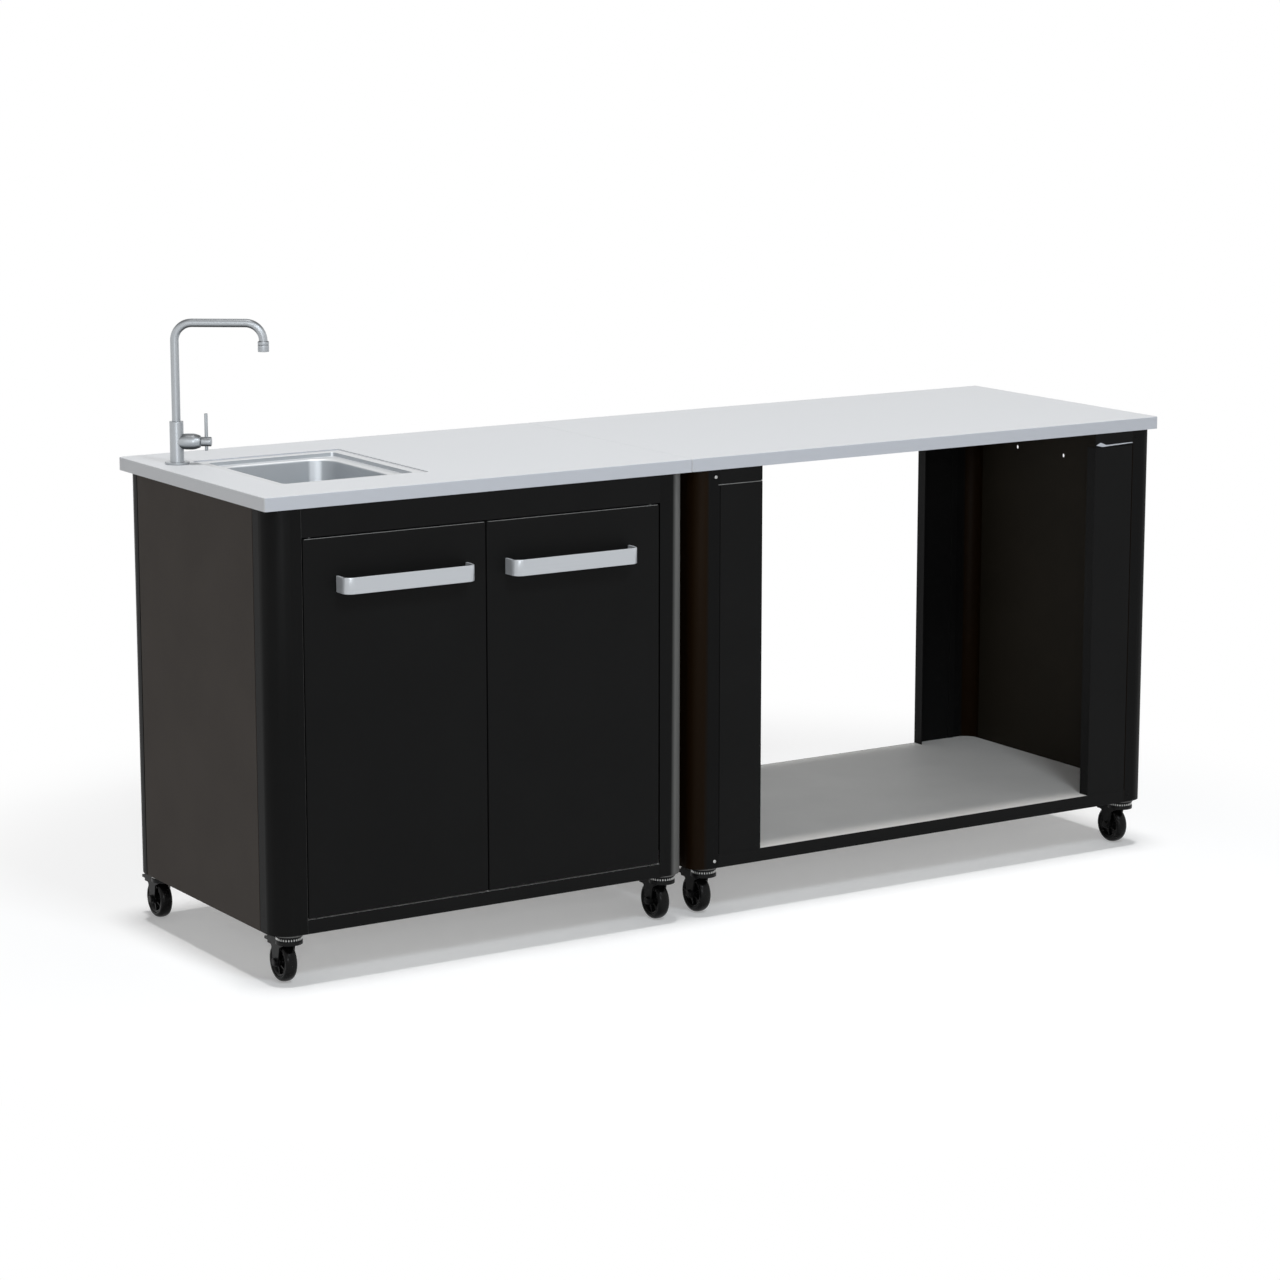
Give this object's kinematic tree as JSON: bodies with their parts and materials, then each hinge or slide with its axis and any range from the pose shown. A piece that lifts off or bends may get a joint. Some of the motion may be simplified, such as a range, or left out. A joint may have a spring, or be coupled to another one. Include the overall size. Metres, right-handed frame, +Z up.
{
  "type": "outdoor kitchen",
  "caption": "Outdoor kitchen on braked casters: steel worktops with a sunk sink and swivel tap, a cabinet with strap-handled doors and an open appliance bay beside it.",
  "frame": {"origin": "on the floor, under the middle of the whole object's box", "axes": "+X along the worktops from the sink end to the open end, +Y from the doors to the back, +Z up"},
  "size_m": [2.04, 0.667, 1.172],
  "materials": {
    "worktop_steel": "fine brushed stainless sheet, satin",
    "basin_steel": "pressed stainless, satin bright",
    "tap_steel": "brushed nickel, satin",
    "handle_aluminium": "satin anodised strap",
    "black_coat": "fine-textured black powder coat, matt",
    "grey_coat": "plain light grey powder coat",
    "zinc_steel": "bright zinc plating",
    "caster_black": "gloss black pressed steel",
    "wheel_rubber": "black rubber, slight gloss",
    "pedal_plastic": "black moulded plastic",
    "trap_plastic": "white moulded plastic"
  },
  "bodies": {
    "cabinets": {"sink_worktop": "worktop_steel", "open_worktop": "worktop_steel", "sink_basin": "basin_steel", "sink_drain": "basin_steel", "sink_trap": "trap_plastic", "tap_body": "tap_steel", "sink_corner_posts": "black_coat", "sink_deck": "black_coat", "sink_front_rail": "black_coat", "open_corner_posts": "black_coat", "open_deck": "grey_coat", "open_front_rail": "black_coat", "sink_left_panel": "black_coat", "sink_right_panel": "black_coat", "open_left_panel": "black_coat", "open_right_panel": "black_coat", "sink_back_panel": "black_coat", "open_back_rail": "black_coat", "sink_header_rail": "black_coat", "door_pivot_pins": "zinc_steel", "open_front_left_filler": "black_coat", "open_front_right_filler": "black_coat", "open_back_left_filler": "black_coat", "open_back_right_filler": "black_coat", "filler_top_strips": "black_coat", "link_bolts": "zinc_steel", "panel_screws": "zinc_steel", "caster_plates": "zinc_steel"},
    "left_door_body": {"left_door": "black_coat", "left_handle": "handle_aluminium"},
    "right_door_body": {"right_door": "black_coat", "right_handle": "handle_aluminium"},
    "spout_body": {"tap_spout": "tap_steel", "tap_aerator": "tap_steel"},
    "lever_body": {"tap_lever": "tap_steel"},
    "sink_front_left_fork_body": {"sink_front_left_fork": "caster_black"},
    "sink_front_left_wheel_body": {"sink_front_left_wheel": "wheel_rubber"},
    "sink_front_left_pedal_body": {"sink_front_left_pedal": "pedal_plastic"},
    "sink_front_right_fork_body": {"sink_front_right_fork": "caster_black"},
    "sink_front_right_wheel_body": {"sink_front_right_wheel": "wheel_rubber"},
    "sink_front_right_pedal_body": {"sink_front_right_pedal": "pedal_plastic"},
    "sink_back_left_fork_body": {"sink_back_left_fork": "caster_black"},
    "sink_back_left_wheel_body": {"sink_back_left_wheel": "wheel_rubber"},
    "sink_back_left_pedal_body": {"sink_back_left_pedal": "pedal_plastic"},
    "sink_back_right_fork_body": {"sink_back_right_fork": "caster_black"},
    "sink_back_right_wheel_body": {"sink_back_right_wheel": "wheel_rubber"},
    "sink_back_right_pedal_body": {"sink_back_right_pedal": "pedal_plastic"},
    "open_front_left_fork_body": {"open_front_left_fork": "caster_black"},
    "open_front_left_wheel_body": {"open_front_left_wheel": "wheel_rubber"},
    "open_front_left_pedal_body": {"open_front_left_pedal": "pedal_plastic"},
    "open_front_right_fork_body": {"open_front_right_fork": "caster_black"},
    "open_front_right_wheel_body": {"open_front_right_wheel": "wheel_rubber"},
    "open_front_right_pedal_body": {"open_front_right_pedal": "pedal_plastic"},
    "open_back_left_fork_body": {"open_back_left_fork": "caster_black"},
    "open_back_left_wheel_body": {"open_back_left_wheel": "wheel_rubber"},
    "open_back_left_pedal_body": {"open_back_left_pedal": "pedal_plastic"},
    "open_back_right_fork_body": {"open_back_right_fork": "caster_black"},
    "open_back_right_wheel_body": {"open_back_right_wheel": "wheel_rubber"},
    "open_back_right_pedal_body": {"open_back_right_pedal": "pedal_plastic"}
  },
  "joints": [
    {"name": "left_door_hinge", "type": "hinge", "parent": "cabinets", "child": "left_door_body", "pos_m": [-0.9295, -0.2885, 0.1245], "axis": [0, 0, -1], "range_deg": [0, 105]},
    {"name": "right_door_hinge", "type": "hinge", "parent": "cabinets", "child": "right_door_body", "pos_m": [-0.2105, -0.2885, 0.1245], "axis": [0, 0, 1], "range_deg": [0, 105]},
    {"name": "spout_swivel", "type": "hinge", "parent": "cabinets", "child": "spout_body", "pos_m": [-0.966, 0.1695, 0.9802], "axis": [0, 0, 1], "range_deg": [-120, 120]},
    {"name": "lever_turn", "type": "hinge", "parent": "cabinets", "child": "lever_body", "pos_m": [-0.966, 0.1695, 0.942], "axis": [0.8192, -0.5736, 0], "range_deg": [0, 90]},
    {"name": "sink_front_left_swivel", "type": "hinge", "parent": "cabinets", "child": "sink_front_left_fork_body", "pos_m": [-0.972, -0.2655, 0.0838], "axis": [0, 0, 1], "continuous": true},
    {"name": "sink_front_left_roll", "type": "hinge", "parent": "sink_front_left_fork_body", "child": "sink_front_left_wheel_body", "pos_m": [-0.972, -0.2415, 0.0375], "axis": [1, 0, 0], "continuous": true},
    {"name": "sink_front_left_brake", "type": "hinge", "parent": "sink_front_left_fork_body", "child": "sink_front_left_pedal_body", "pos_m": [-0.972, -0.2155, 0.0738], "axis": [-1, 0, 0], "range_deg": [0, 12]},
    {"name": "sink_front_right_swivel", "type": "hinge", "parent": "cabinets", "child": "sink_front_right_fork_body", "pos_m": [-0.168, -0.2655, 0.0838], "axis": [0, 0, 1], "continuous": true},
    {"name": "sink_front_right_roll", "type": "hinge", "parent": "sink_front_right_fork_body", "child": "sink_front_right_wheel_body", "pos_m": [-0.168, -0.2415, 0.0375], "axis": [1, 0, 0], "continuous": true},
    {"name": "sink_front_right_brake", "type": "hinge", "parent": "sink_front_right_fork_body", "child": "sink_front_right_pedal_body", "pos_m": [-0.168, -0.2155, 0.0738], "axis": [-1, 0, 0], "range_deg": [0, 12]},
    {"name": "sink_back_left_swivel", "type": "hinge", "parent": "cabinets", "child": "sink_back_left_fork_body", "pos_m": [-0.972, 0.2595, 0.0838], "axis": [0, 0, 1], "continuous": true},
    {"name": "sink_back_left_roll", "type": "hinge", "parent": "sink_back_left_fork_body", "child": "sink_back_left_wheel_body", "pos_m": [-0.972, 0.2835, 0.0375], "axis": [1, 0, 0], "continuous": true},
    {"name": "sink_back_left_brake", "type": "hinge", "parent": "sink_back_left_fork_body", "child": "sink_back_left_pedal_body", "pos_m": [-0.972, 0.3095, 0.0738], "axis": [-1, 0, 0], "range_deg": [0, 12]},
    {"name": "sink_back_right_swivel", "type": "hinge", "parent": "cabinets", "child": "sink_back_right_fork_body", "pos_m": [-0.168, 0.2595, 0.0838], "axis": [0, 0, 1], "continuous": true},
    {"name": "sink_back_right_roll", "type": "hinge", "parent": "sink_back_right_fork_body", "child": "sink_back_right_wheel_body", "pos_m": [-0.168, 0.2835, 0.0375], "axis": [1, 0, 0], "continuous": true},
    {"name": "sink_back_right_brake", "type": "hinge", "parent": "sink_back_right_fork_body", "child": "sink_back_right_pedal_body", "pos_m": [-0.168, 0.3095, 0.0738], "axis": [-1, 0, 0], "range_deg": [0, 12]},
    {"name": "open_front_left_swivel", "type": "hinge", "parent": "cabinets", "child": "open_front_left_fork_body", "pos_m": [-0.072, -0.2655, 0.0838], "axis": [0, 0, 1], "continuous": true},
    {"name": "open_front_left_roll", "type": "hinge", "parent": "open_front_left_fork_body", "child": "open_front_left_wheel_body", "pos_m": [-0.072, -0.2415, 0.0375], "axis": [1, 0, 0], "continuous": true},
    {"name": "open_front_left_brake", "type": "hinge", "parent": "open_front_left_fork_body", "child": "open_front_left_pedal_body", "pos_m": [-0.072, -0.2155, 0.0738], "axis": [-1, 0, 0], "range_deg": [0, 12]},
    {"name": "open_front_right_swivel", "type": "hinge", "parent": "cabinets", "child": "open_front_right_fork_body", "pos_m": [0.972, -0.2655, 0.0838], "axis": [0, 0, 1], "continuous": true},
    {"name": "open_front_right_roll", "type": "hinge", "parent": "open_front_right_fork_body", "child": "open_front_right_wheel_body", "pos_m": [0.972, -0.2415, 0.0375], "axis": [1, 0, 0], "continuous": true},
    {"name": "open_front_right_brake", "type": "hinge", "parent": "open_front_right_fork_body", "child": "open_front_right_pedal_body", "pos_m": [0.972, -0.2155, 0.0738], "axis": [-1, 0, 0], "range_deg": [0, 12]},
    {"name": "open_back_left_swivel", "type": "hinge", "parent": "cabinets", "child": "open_back_left_fork_body", "pos_m": [-0.072, 0.2595, 0.0838], "axis": [0, 0, 1], "continuous": true},
    {"name": "open_back_left_roll", "type": "hinge", "parent": "open_back_left_fork_body", "child": "open_back_left_wheel_body", "pos_m": [-0.072, 0.2835, 0.0375], "axis": [1, 0, 0], "continuous": true},
    {"name": "open_back_left_brake", "type": "hinge", "parent": "open_back_left_fork_body", "child": "open_back_left_pedal_body", "pos_m": [-0.072, 0.3095, 0.0738], "axis": [-1, 0, 0], "range_deg": [0, 12]},
    {"name": "open_back_right_swivel", "type": "hinge", "parent": "cabinets", "child": "open_back_right_fork_body", "pos_m": [0.972, 0.2595, 0.0838], "axis": [0, 0, 1], "continuous": true},
    {"name": "open_back_right_roll", "type": "hinge", "parent": "open_back_right_fork_body", "child": "open_back_right_wheel_body", "pos_m": [0.972, 0.2835, 0.0375], "axis": [1, 0, 0], "continuous": true},
    {"name": "open_back_right_brake", "type": "hinge", "parent": "open_back_right_fork_body", "child": "open_back_right_pedal_body", "pos_m": [0.972, 0.3095, 0.0738], "axis": [-1, 0, 0], "range_deg": [0, 12]}
  ]
}
